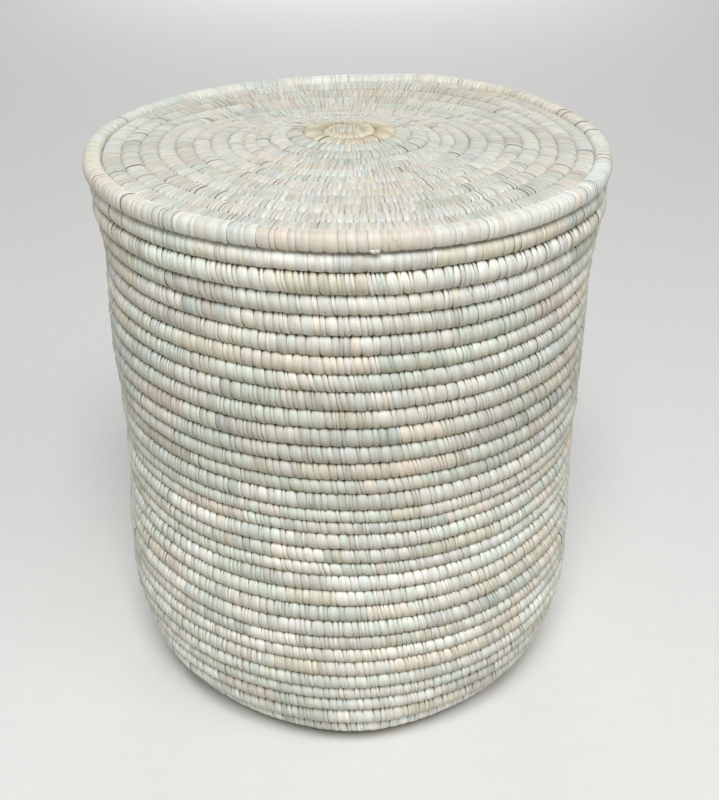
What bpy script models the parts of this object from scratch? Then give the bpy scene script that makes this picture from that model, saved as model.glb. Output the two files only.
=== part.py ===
"""Lidded storage basket, coiled from a core wrapped in palm leaf.

One coil runs from a knot in the middle of the floor out to the heel, round it and
up the wall to the rim. A second coil makes the lid, with a thicker turn round its
edge and a turn sewn underneath that drops into the mouth of the basket.
Metres, +Z up. The origin is the middle of the underside, on the floor.
"""

import math

import bmesh
import bpy
import numpy as np
from mathutils.kdtree import KDTree

# Body: outside sizes, measured over the crests of the coil
BODY_HEIGHT = 0.5130
RIM_RADIUS = 0.2285
RIM_FLARE = 0.0078
BELLY_SWELL = 0.0043
WAIST_RADIUS = RIM_RADIUS - RIM_FLARE
BELLY_RADIUS = WAIST_RADIUS + BELLY_SWELL
HEEL_REACH = 0.0590
HEEL_RISE = 0.1100
# Bend of the heel: 2 makes it a quarter of an ellipse, less flattens it
HEEL_BEND_POWER = 1.8

# Body: thickness of the coil, and its starting knot
BASE_COIL = 0.0175
WAIST_COIL = 0.0140
RIM_COIL = 0.0172
BASE_KNOT_RADIUS = 0.0130

# Where these sizes hold, as shares of the wall's height above the heel
SWELL_TOP_SHARE = 0.30
FLARE_FOOT_SHARE = 0.78
FLARE_TOP_SHARE = 0.95
THIN_COIL_SHARE = 0.32
THICK_COIL_SHARE = 0.80

# Lid: its edge lies on the rim and stands out over it
LID_OVERHANG = 0.0015
LID_RADIUS = RIM_RADIUS + LID_OVERHANG
LID_CROWN = 0.0110
LID_CROWN_REACH = 0.1320
LID_COIL = 0.0157
LID_INNER_COIL = 0.0125
LID_THIN_COIL_RADIUS = 0.0500
LID_THICK_COIL_RADIUS = 0.1100
LID_EDGE_COIL = 0.0150
LID_KNOT_RADIUS = 0.0125
LOCATING_COIL = 0.0125

# Fits
TURN_GAP = 0.0006
END_GAP = 0.0003
SEAT_GAP = 0.0003
LOCATING_CLEARANCE = 0.0030

# Winding
MM = 1000
LOOP_POINTS = 16
SMALL_LOOP_POINTS = 8
SMALL_LOOP_RADIUS = 0.0450
TAIL_SHARE = 0.2
KNOT_SIDES = 24
KNOT_EDGE_SHARE = 0.06
HALF_SIDE_TURN = 0.5 / LOOP_POINTS
EDGE_END_TURN = HALF_SIDE_TURN - 0.25
RIM_END_TURN = HALF_SIDE_TURN + 0.25
LOCATING_END_TURN = HALF_SIDE_TURN + 0.5
TURN_SLACK = 0.001
CAP_COUNT = 2
SKIN_STEPS = 6
GAP_SEARCH = 0.0040
HEEL_SAMPLES = 60
WALL_SAMPLES = 160
FLAT_SAMPLES = 40

# Outline of the wrapped coil in shares of its thickness: x points out of the
# basket, y towards the next turn. The first is ridged, the second is pressed flat.
SHOULDER_SHARE = 0.12
RIDGED_SHARES = ((0.5, 0.0), (SHOULDER_SHARE, -0.5), (-0.5, -0.28), (-0.5, 0.28), (SHOULDER_SHARE, 0.5))
PRESSED_SHARES = ((0.5, -0.5), (-0.5, -0.28), (-0.5, 0.28), (0.5, 0.5))

PALM_LEAF = (0.700, 0.660, 0.560)
PALM_LEAF_PALE = (0.740, 0.710, 0.620)
PALM_LEAF_TAN = (0.560, 0.450, 0.320)
LEAF_ROUGHNESS = 0.62


def clear_scene():
    """Remove what is in the scene already."""
    for old in list(bpy.data.objects):
        bpy.data.objects.remove(old, do_unlink=True)


def collection(name):
    """Return a new collection in the scene."""
    made = bpy.data.collections.new(name)
    bpy.context.scene.collection.children.link(made)
    return made


def leaf_material(name, colour):
    """Return a matt dried-leaf material."""
    made = bpy.data.materials.new(name)
    made.use_nodes = True
    shader = made.node_tree.nodes["Principled BSDF"]
    shader.inputs["Base Color"].default_value = (*colour, 1.0)
    shader.inputs["Roughness"].default_value = LEAF_ROUGHNESS
    shader.inputs["Metallic"].default_value = 0.0
    made.diffuse_color = (*colour, 1.0)
    return made


class Meridian:
    """Middle line of the coil in a half plane through the axis, by length along it."""

    def __init__(self, radius, height, coil):
        """Keep the line's samples, and the thickness of the coil at each of them."""
        self.radius = np.array(radius)
        self.height = np.array(height)
        steps = np.hypot(np.diff(self.radius), np.diff(self.height))
        self.length = np.concatenate([[0.0], np.cumsum(steps)])
        slope = np.arctan2(np.gradient(self.height), np.gradient(self.radius))
        self.slope = slope
        rate = 1.0 / np.array(coil)
        turns = np.concatenate([[0.0], np.cumsum((rate[1:] + rate[:-1]) / 2 * steps)])
        self.turns = turns

    def at(self, length):
        """Return radius, height and slope at a length along the line."""
        radius = float(np.interp(length, self.length, self.radius))
        height = float(np.interp(length, self.length, self.height))
        slope = float(np.interp(length, self.length, self.slope))
        return radius, height, slope

    def turn_at(self, length):
        """Return how many turns lie inside a length."""
        return float(np.interp(length, self.length, self.turns))

    def length_at(self, turn):
        """Return the length reached after a number of turns, going on past both ends."""
        first = (self.length[1] - self.length[0]) / (self.turns[1] - self.turns[0])
        last = (self.length[-1] - self.length[-2]) / (self.turns[-1] - self.turns[-2])
        if turn < 0.0:
            return turn * first
        if turn > self.turns[-1]:
            return float(self.length[-1] + (turn - self.turns[-1]) * last)
        return float(np.interp(turn, self.turns, self.length))


def ease(share):
    """Return a smooth step from 0 to 1."""
    held = min(max(share, 0.0), 1.0)
    return held * held * (3.0 - 2.0 * held)


def wall_coil(share):
    """Return the coil's thickness at a share of the wall's height."""
    stations = (0.0, THIN_COIL_SHARE, THICK_COIL_SHARE)
    return float(np.interp(share, stations, (BASE_COIL, WAIST_COIL, RIM_COIL)))


def wall_radius(share):
    """Return the outside radius at a share of the wall's height."""
    swell = 1.0 - ease(share / SWELL_TOP_SHARE)
    flare = min(max((share - FLARE_FOOT_SHARE) / (FLARE_TOP_SHARE - FLARE_FOOT_SHARE), 0.0), 1.0) ** 2
    return WAIST_RADIUS + (BELLY_RADIUS - WAIST_RADIUS) * swell + (RIM_RADIUS - WAIST_RADIUS) * flare


def body_meridian():
    """Return the body's line, from the middle of the floor to the top of the rim.

    With it come the lengths at which the heel, the wall and the wall's flare begin.
    """
    half = BASE_COIL / 2
    reach = HEEL_REACH - half
    rise = HEEL_RISE - half
    floor_end = BELLY_RADIUS - half - reach
    radius = list(np.linspace(0.0, floor_end, FLAT_SAMPLES, endpoint=False))
    height = [half] * FLAT_SAMPLES
    coil = [BASE_COIL] * FLAT_SAMPLES
    for angle in np.linspace(0.0, math.pi / 2, HEEL_SAMPLES, endpoint=False):
        radius.append(floor_end + reach * math.sin(angle) ** (2 / HEEL_BEND_POWER))
        height.append(half + rise * (1.0 - math.cos(angle) ** (2 / HEEL_BEND_POWER)))
        coil.append(BASE_COIL)
    for share in np.linspace(0.0, 1.0, WALL_SAMPLES):
        thickness = wall_coil(share)
        radius.append(wall_radius(share) - thickness / 2)
        height.append(HEEL_RISE + (BODY_HEIGHT - HEEL_RISE) * share)
        coil.append(thickness)
    line = Meridian(radius, height, coil)
    wall = FLAT_SAMPLES + HEEL_SAMPLES
    flare = wall + round(FLARE_FOOT_SHARE * (WALL_SAMPLES - 1))
    return line, floor_end, line.length[wall], line.length[flare]


def lid_height(radius):
    """Return the height of the middle of the lid's coil at a radius."""
    edge_height = BODY_HEIGHT + SEAT_GAP + LID_EDGE_COIL / 2
    share = min(radius / LID_CROWN_REACH, 1.0)
    return edge_height + LID_CROWN * (1.0 - share ** 2) ** 2


def lid_coil(radius):
    """Return the thickness of the lid's coil at a radius."""
    stations = (LID_THIN_COIL_RADIUS, LID_THICK_COIL_RADIUS)
    return float(np.interp(radius, stations, (LID_INNER_COIL, LID_COIL)))


def lid_meridian():
    """Return the lid's line, from its middle to inside its edge coil."""
    radius = np.linspace(0.0, LID_RADIUS - LID_EDGE_COIL, FLAT_SAMPLES)
    return Meridian(radius, [lid_height(r) for r in radius], [lid_coil(r) for r in radius])


def outline_guide(name, shares, guides):
    """Return a closed flat curve of the coil's outline, one unit thick."""
    curve = bpy.data.curves.new(name, "CURVE")
    curve.dimensions = "2D"
    curve.fill_mode = "NONE"
    spline = curve.splines.new("POLY")
    spline.points.add(len(shares) - 1)
    for point, (out, along) in zip(spline.points, shares):
        point.co = (out, along, 0.0, 1.0)
    spline.use_cyclic_u = True
    guide = bpy.data.objects.new(name, curve)
    guide.hide_render = True
    guide.display_type = "WIRE"
    guides.objects.link(guide)
    return guide


def tube(name, path, guide, material, part):
    """Make one unbroken wrapped coil.

    path holds (position, thickness, tilt) for each point: tilt turns the outline
    about the coil, from level and pointing out of the basket.
    """
    curve = bpy.data.curves.new(name, "CURVE")
    curve.dimensions = "3D"
    curve.twist_mode = "Z_UP"
    curve.bevel_mode = "OBJECT"
    curve.bevel_object = guide
    curve.use_fill_caps = True
    spline = curve.splines.new("POLY")
    spline.points.add(len(path) - 1)
    for point, (position, thickness, tilt) in zip(spline.points, path):
        point.co = (*position, 1.0)
        point.radius = thickness
        point.tilt = tilt
    curve.materials.append(material)
    made = bpy.data.objects.new(name, curve)
    part.objects.link(made)
    return made


def on_circle(radius, height, turn):
    """Return the place at a radius, a height and a turn number about the axis."""
    angle = 2 * math.pi * turn
    return np.array([radius * math.cos(angle), radius * math.sin(angle), height])


def needs_point(turn, radius):
    """Tell whether a turn number carries a point: small turns have only every other one."""
    on_small_grid = abs(turn * SMALL_LOOP_POINTS - round(turn * SMALL_LOOP_POINTS)) < TURN_SLACK
    return radius > SMALL_LOOP_RADIUS or on_small_grid


def stretch(first, last, station):
    """Return the points of a coil between two turn numbers.

    station gives (position, thickness, tilt) at a turn number. Points lie on a grid of
    turns, so that the sides of neighbouring turns are parallel. An end between two grid
    points lies on the straight side between them, so that stretches meet squarely.
    """
    def at(turn):
        """Return a point at a turn number, on the side between grid points."""
        share, count = math.modf(turn * LOOP_POINTS + LOOP_POINTS)
        before = station((count - LOOP_POINTS) / LOOP_POINTS)
        after = station((count + 1.0 - LOOP_POINTS) / LOOP_POINTS)
        return tuple(near * (1.0 - share) + far * share for near, far in zip(before, after))

    low = math.floor(first * LOOP_POINTS + TURN_SLACK) + 1
    high = math.ceil(last * LOOP_POINTS - TURN_SLACK) - 1
    inner = [(count / LOOP_POINTS, station(count / LOOP_POINTS)) for count in range(low, high + 1)]
    kept = [point for turn, point in inner if needs_point(turn, np.hypot(*point[0][:2]))]
    return [at(first), *kept, at(last)]


def winding(line, first, last, low, high, facing, flat=False):
    """Return the path of a stretch of coil, from one turn number to another.

    The stretch fills its own band of the line. Below low and above high there is no
    room, so a first turn grows to its thickness and a last turn tapers away. facing is
    1 where the outline points to the right of the line, which is outwards on the body,
    and -1 where it points to the left. flat lets the coil lie on the floor.
    """
    def station(turn):
        """Return the place, thickness and tilt of the coil at a turn number."""
        bottom = max(line.length_at(turn - 0.5), low)
        top = min(line.length_at(turn + 0.5), high)
        thickness = top - bottom - TURN_GAP
        radius, height, slope = line.at((top + bottom) / 2)
        height = thickness / 2 if flat else height
        return on_circle(radius, height, turn), thickness, facing * math.pi / 2 - slope

    return stretch(first, last, station)


def ring(radius, height, thickness, end_turn):
    """Return the path of one level turn that starts and ends at a turn number."""
    slack = end_slack(radius)
    return stretch(end_turn + slack, end_turn + 1.0 - slack,
                   lambda turn: (on_circle(radius, height, turn), thickness, 0.0))


def end_slack(radius):
    """Return half the gap between the ends of two stretches, in turns."""
    return END_GAP / (4 * math.pi * radius)


def knot(name, radius, thickness, height, material, part):
    """Make the folded knot in the middle of a coil: a short round button."""
    mesh = bpy.data.meshes.new(name)
    shape = bmesh.new()
    bmesh.ops.create_cone(shape, cap_ends=True, segments=KNOT_SIDES, radius1=radius, radius2=radius,
                          depth=thickness)
    shape.to_mesh(mesh)
    shape.free()
    mesh.materials.append(material)
    made = bpy.data.objects.new(name, mesh)
    made.location = (0.0, 0.0, height)
    part.objects.link(made)
    bevel = made.modifiers.new("rounded edge", "BEVEL")
    bevel.width = KNOT_EDGE_SHARE * thickness
    bevel.segments = 2
    bevel.limit_method = "ANGLE"
    mesh.shade_smooth()
    mesh.set_sharp_from_angle(angle=math.radians(40.0))
    return made


def tail_turn(line, high):
    """Return the turn number at which a tapering last turn is cut off."""
    return math.floor((line.turn_at(high) + 0.5 - TAIL_SHARE) * LOOP_POINTS) / LOOP_POINTS


def head_turn(line, low):
    """Return the turn number at which a growing first turn begins."""
    return math.ceil((line.turn_at(low) - 0.5 + TAIL_SHARE) * SMALL_LOOP_POINTS) / SMALL_LOOP_POINTS


def room_for_knot(knot_radius):
    """Return the radius at which the first turn's corners clear a knot on its flats."""
    return (knot_radius + SEAT_GAP) / math.cos(math.pi / SMALL_LOOP_POINTS)


def basket_body(part, guides_by_name, materials):
    """Make the body: knot, floor, heel, wall and rim."""
    line, heel_foot, wall_foot, flare_foot = body_meridian()
    ridged, pressed = guides_by_name["ridged"], guides_by_name["pressed"]
    leaf = materials["leaf"]
    low = room_for_knot(BASE_KNOT_RADIUS)
    high = line.length[-1] - RIM_COIL
    first = head_turn(line, low)
    last = tail_turn(line, high)
    heel_first = math.ceil(line.turn_at(heel_foot) - 0.5) + HALF_SIDE_TURN
    wall_first = math.ceil(line.turn_at(wall_foot)) + HALF_SIDE_TURN
    heel_middle = round((heel_first + wall_first) / 2) + HALF_SIDE_TURN
    flare_first = round(line.turn_at(flare_foot)) + HALF_SIDE_TURN
    knot("base_start", BASE_KNOT_RADIUS, BASE_COIL, BASE_COIL / 2, materials["tan"], part)
    names = ("base_coil", "heel_coil_lower", "heel_coil_upper", "wall_coil_lower", "wall_coil_upper")
    cuts = [first, heel_first, heel_middle, wall_first, flare_first, last]
    slacks = [0.0] + [end_slack(line.at(line.length_at(cut))[0]) for cut in cuts[1:-1]] + [0.0]
    made = []
    for index, name in enumerate(names):
        start = cuts[index] + slacks[index]
        stop = cuts[index + 1] - slacks[index + 1]
        flat = index == 0
        path = winding(line, start, stop, low, high, 1, flat)
        made.append(tube(name, path, pressed if flat else ridged, leaf, part))
    rim_radius = RIM_RADIUS - RIM_COIL / 2
    rim_path = ring(rim_radius, BODY_HEIGHT - RIM_COIL / 2, RIM_COIL, RIM_END_TURN)
    made.append(tube("rim_coil", rim_path, ridged, leaf, part))
    return made


def basket_lid(part, guides_by_name, materials):
    """Make the lid: knot, domed top, edge and the turn that locates it in the mouth."""
    line = lid_meridian()
    ridged = guides_by_name["ridged"]
    pale = materials["pale"]
    low = room_for_knot(LID_KNOT_RADIUS)
    high = line.length[-1]
    start_coil = lid_coil(0.0)
    knot("lid_start", LID_KNOT_RADIUS, start_coil, lid_height(0.0), materials["tan"], part)
    path = winding(line, head_turn(line, low), tail_turn(line, high), low, high, -1)
    made = [tube("lid_coil", path, ridged, pale, part)]
    edge_path = ring(LID_RADIUS - LID_EDGE_COIL / 2, lid_height(LID_RADIUS - LID_EDGE_COIL / 2),
                     LID_EDGE_COIL, EDGE_END_TURN)
    made.append(tube("lid_edge_coil", edge_path, ridged, pale, part))
    radius = RIM_RADIUS - RIM_COIL - LOCATING_CLEARANCE - LOCATING_COIL / 2
    shoulder = radius + SHOULDER_SHARE * LOCATING_COIL
    underside = lid_height(shoulder) - lid_coil(shoulder) / 2
    locating_path = ring(radius, underside - LOCATING_COIL / 2, LOCATING_COIL, LOCATING_END_TURN)
    made.append(tube("lid_locating_coil", locating_path, ridged, pale, part))
    return made


def skin_points(made):
    """Return points spread over a coil's skin, each with the turn that it belongs to."""
    sides = len(made.data.bevel_object.data.splines[0].points)
    rings = len(made.data.splines[0].points)
    mesh = bpy.data.meshes.new_from_object(made.evaluated_get(bpy.context.evaluated_depsgraph_get()))
    corners = np.array([vertex.co for vertex in mesh.vertices])[CAP_COUNT * sides:]
    bpy.data.meshes.remove(mesh)
    corners = corners.reshape(rings, sides, 3)
    points = []
    for share in np.linspace(0.0, 1.0, SKIN_STEPS, endpoint=False):
        across = corners * (1.0 - share) + np.roll(corners, -1, axis=1) * share
        for along in np.linspace(0.0, 1.0, SKIN_STEPS, endpoint=False):
            points.append(across[:-1] * (1.0 - along) + across[1:] * along)
    found = np.concatenate([patch.reshape(-1, 3) for patch in points])
    index = np.tile(np.repeat(np.arange(rings - 1), sides), len(points))
    return found, index


def least_gap(made):
    """Return the least distance between skin points that lie about a turn apart."""
    points, index = skin_points(made)
    tree = KDTree(len(points))
    for number, point in enumerate(points):
        tree.insert(point, number)
    tree.balance()
    least = math.inf
    for number, point in enumerate(points):
        for _, other, distance in tree.find_range(point, GAP_SEARCH):
            if abs(int(index[other]) - int(index[number])) > SMALL_LOOP_POINTS // 2:
                least = min(least, distance)
    return least


def main():
    """Build the basket and print how close each winding comes to itself."""
    clear_scene()
    part = collection("lidded_storage_basket")
    guides = collection("guides")
    outlines = {"ridged": outline_guide("ridged_outline", RIDGED_SHARES, guides),
                "pressed": outline_guide("pressed_outline", PRESSED_SHARES, guides)}
    materials = {"leaf": leaf_material("palm_leaf", PALM_LEAF),
                 "pale": leaf_material("palm_leaf_pale", PALM_LEAF_PALE),
                 "tan": leaf_material("palm_leaf_tan", PALM_LEAF_TAN)}
    made = basket_body(part, outlines, materials) + basket_lid(part, outlines, materials)
    bpy.context.view_layer.update()
    for coil in made:
        points = len(coil.data.splines[0].points)
        gap = least_gap(coil)
        shown = f"{gap * MM:.2f} mm" if gap < GAP_SEARCH else f"over {GAP_SEARCH * MM:.0f} mm"
        print(f"{coil.name}: {points} points, least gap to itself {shown}")


main()
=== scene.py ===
"""Looks of the lidded storage basket: palm leaf wrapped round a coiled core.

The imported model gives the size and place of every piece. Each coil is wound again here as
a true round spiral, its core is a bundle of fibre, and every strip of palm leaf that wraps
it is a sheet of its own, bent round the core and stitched into the turn before it.
Metres, +Z up, the viewer of the photograph stands at -Y.
"""

from __future__ import annotations

import logging
import math
from collections.abc import Callable
from dataclasses import dataclass, field, fields, replace
from enum import Enum
from functools import reduce

import bpy
import numpy as np
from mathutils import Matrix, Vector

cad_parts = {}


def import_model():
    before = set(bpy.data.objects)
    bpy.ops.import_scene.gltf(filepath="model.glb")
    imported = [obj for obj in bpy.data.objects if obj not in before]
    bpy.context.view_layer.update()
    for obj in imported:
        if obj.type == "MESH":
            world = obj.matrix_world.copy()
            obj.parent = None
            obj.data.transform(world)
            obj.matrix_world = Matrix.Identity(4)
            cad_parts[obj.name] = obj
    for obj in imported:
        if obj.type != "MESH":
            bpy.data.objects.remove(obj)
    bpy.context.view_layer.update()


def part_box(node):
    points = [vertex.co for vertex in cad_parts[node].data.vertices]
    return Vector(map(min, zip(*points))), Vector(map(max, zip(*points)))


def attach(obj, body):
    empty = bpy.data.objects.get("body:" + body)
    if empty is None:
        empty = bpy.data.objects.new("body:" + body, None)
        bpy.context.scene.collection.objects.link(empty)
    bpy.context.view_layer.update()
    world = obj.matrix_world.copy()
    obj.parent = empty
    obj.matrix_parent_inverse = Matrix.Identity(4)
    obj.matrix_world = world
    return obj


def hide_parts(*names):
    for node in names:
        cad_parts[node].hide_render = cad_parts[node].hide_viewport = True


LOG = logging.getLogger("basket")
MM = 0.001
# Turn numbers count anticlockwise from +X: the viewer's side and the far side.
FRONT_TURN = -0.25
BACK_TURN = 0.25
# How finely a coil is drawn, how finely its ends are looked for, and among how many turns.
POINTS_PER_TURN = 96
TRIES_PER_TURN = 1000
STARTS_WITHIN = 4
ENDS_WITHIN = 2
# A strip's width lies between narrow and wide by a random share to this power, and by this share on average.
WIDTH_POWER = 1.4
MEAN_WIDTH_SHARE = 0.42
# A folded start is drawn with so many points, and stops short of its oval's tips by so little.
KNOT_POINTS = 33
KNOT_REACH = 0.985
# The places of a colour mix's two colours and its result among its sockets.
MIX_FIRST, MIX_SECOND, MIX_RESULT = 6, 7, 2
Socket = bpy.types.NodeSocket
# A value is a socket or plain data.
Value = object
Range = tuple[float, float]
Shape = Callable[[np.ndarray, np.ndarray, np.ndarray], np.ndarray]


class Tone(Enum):
    """Colours of dried palm leaf and its core, as sRGB shares, with the browns of painted shade."""

    CREAM = (0.866, 0.868, 0.832)
    WHITE = (0.888, 0.892, 0.874)
    PALE_GREEN = (0.826, 0.862, 0.812)
    BLUE_GREEN = (0.826, 0.862, 0.836)
    PINK_TAN = (0.884, 0.842, 0.788)
    KHAKI = (0.842, 0.830, 0.756)
    TAN = (0.820, 0.768, 0.686)
    STRAW = (0.850, 0.820, 0.726)
    # Painted shade: the brown of the rows' undersides.
    UNDERSIDE = (0.630, 0.568, 0.400)
    # Painted shade in grooves and creases, and the darker brown of splits and of the core.
    DIRT = (0.520, 0.440, 0.300)
    CORE = (0.680, 0.620, 0.500)

    @property
    def linear(self) -> tuple[float, float, float, float]:
        """The colour as linear light, by the sRGB curve, with full cover."""
        parts = [share / 12.92 if share <= 0.04045 else ((share + 0.055) / 1.055) ** 2.4
                 for share in self.value]
        return (*parts, 1.0)


class Draw(Enum):
    """What each strip draws at random, with the number that sets its draw apart."""

    WIDTH = 1
    TONE = 2
    LIGHT = 3
    ODD = 4
    LEAN = 5
    ROLL = 6
    TIP = 7
    SNUG = 8


class Sketch:
    """Writes down a node tree: each method adds a node and returns the socket that it gives."""

    def __init__(self, tree: bpy.types.NodeTree) -> None:
        """Keep the tree."""
        self.tree = tree

    @staticmethod
    def socket(sockets: bpy.types.bpy_prop_collection, name: str | int) -> Socket:
        """Find a socket in use.

        Args:
            sockets: a node's inputs or outputs.
            name: the socket's name, or its number.

        Returns:
            The socket.
        """
        if isinstance(name, int):
            return sockets[name]
        return next(found for found in sockets if found.name == name and found.enabled)

    def feed(self, target: Socket, value: Value) -> None:
        """Link an input to a socket, or give it a plain value.

        Args:
            target: the input.
            value: the socket or the value.
        """
        if isinstance(value, Socket):
            self.tree.links.new(value, target)
        else:
            target.default_value = value

    def node(self, kind: str, inputs: dict[str | int, Value] | None = None,
             **settings: Value) -> bpy.types.Node:
        """Add a node.

        Args:
            kind: the node's type.
            inputs: a value or a socket for each input that isn't left as it is.
            settings: the node's own options.

        Returns:
            The node.
        """
        made = self.tree.nodes.new(kind)
        for name, value in settings.items():
            setattr(made, name, value)
        for name, value in (inputs or {}).items():
            self.feed(self.socket(made.inputs, name), value)
        return made

    def math(self, operation: str, first: Value, second: Value = 0.0) -> Socket:
        """Return the result of a sum of one or two terms."""
        return self.node("ShaderNodeMath", {0: first, 1: second}, operation=operation).outputs[0]

    def add(self, *terms: Value) -> Socket:
        """Return the sum of two or more terms."""
        return reduce(lambda total, term: self.math("ADD", total, term), terms)

    def times(self, *terms: Value) -> Socket:
        """Return the product of two or more terms."""
        return reduce(lambda total, term: self.math("MULTIPLY", total, term), terms)

    def less(self, first: Value, second: Value) -> Socket:
        """Return the first term less the second."""
        return self.math("SUBTRACT", first, second)

    def power(self, base: Value, exponent: Value) -> Socket:
        """Return the power of a base, or 0 where the base is below 0."""
        return self.math("POWER", self.math("MAXIMUM", base, 0.0), exponent)

    def signed_power(self, base: Value, exponent: Value) -> Socket:
        """Return the power of a base's size, with the base's sign."""
        return self.times(self.math("SIGN", base), self.math("POWER", self.math("ABSOLUTE", base), exponent))

    def rise(self, value: Value, low: float, high: float) -> Socket:
        """Return a smooth step that is 0 up to low and 1 from high on."""
        return self.node("ShaderNodeMapRange", {0: value, 1: low, 2: high},
                         interpolation_type="SMOOTHSTEP").outputs[0]

    def noise(self, place: Value, scale: float, detail: float, roughness: float = 0.5) -> bpy.types.Node:
        """Add a noise that changes from place to place."""
        return self.node("ShaderNodeTexNoise", {"Vector": place, "Scale": scale, "Detail": detail,
                                                "Roughness": roughness})

    def attribute(self, name: str, output: str = "Fac") -> Socket:
        """Return what a mesh keeps under a name, for its material."""
        return self.node("ShaderNodeAttribute", attribute_name=name).outputs[output]

    def vector(self, operation: str, first: Value, second: Value = (0.0, 0.0, 0.0)) -> Socket:
        """Return the result of a sum of two vectors."""
        return self.node("ShaderNodeVectorMath", {0: first, 1: second}, operation=operation).outputs[0]

    def scaled(self, vector: Value, factor: Value) -> Socket:
        """Return a vector times a factor."""
        return self.node("ShaderNodeVectorMath", {0: vector, "Scale": factor}, operation="SCALE").outputs[0]

    def joined(self, x: Value, y: Value, z: Value = 0.0) -> Socket:
        """Return a vector made of three numbers."""
        return self.node("ShaderNodeCombineXYZ", {0: x, 1: y, 2: z}).outputs[0]

    def parts(self, vector: Socket) -> list[Socket]:
        """Return the three numbers of a vector."""
        return list(self.node("ShaderNodeSeparateXYZ", {0: vector}).outputs)

    def blended(self, share: Value, first: Value, second: Value, kind: str = "MIX") -> Socket:
        """Return the first colour with a share of the second mixed in."""
        return self.node("ShaderNodeMix", {0: share, MIX_FIRST: first, MIX_SECOND: second},
                         data_type="RGBA", blend_type=kind).outputs[MIX_RESULT]


def blank(name: str) -> tuple[bpy.types.Material, Sketch, bpy.types.bpy_prop_collection]:
    """Start a material.

    Args:
        name: its name.

    Returns:
        The material, the sketch of its nodes and its shader's inputs.
    """
    made = bpy.data.materials.new(name)
    made.use_nodes = True
    return made, Sketch(made.node_tree), made.node_tree.nodes["Principled BSDF"].inputs


def placed(name: str, data: bpy.types.ID) -> bpy.types.Object:
    """Put a mesh, a lamp or a camera in the scene.

    Args:
        name: the object's name.
        data: what it shows.

    Returns:
        The object.
    """
    made = bpy.data.objects.new(name, data)
    bpy.context.scene.collection.objects.link(made)
    return made


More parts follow.
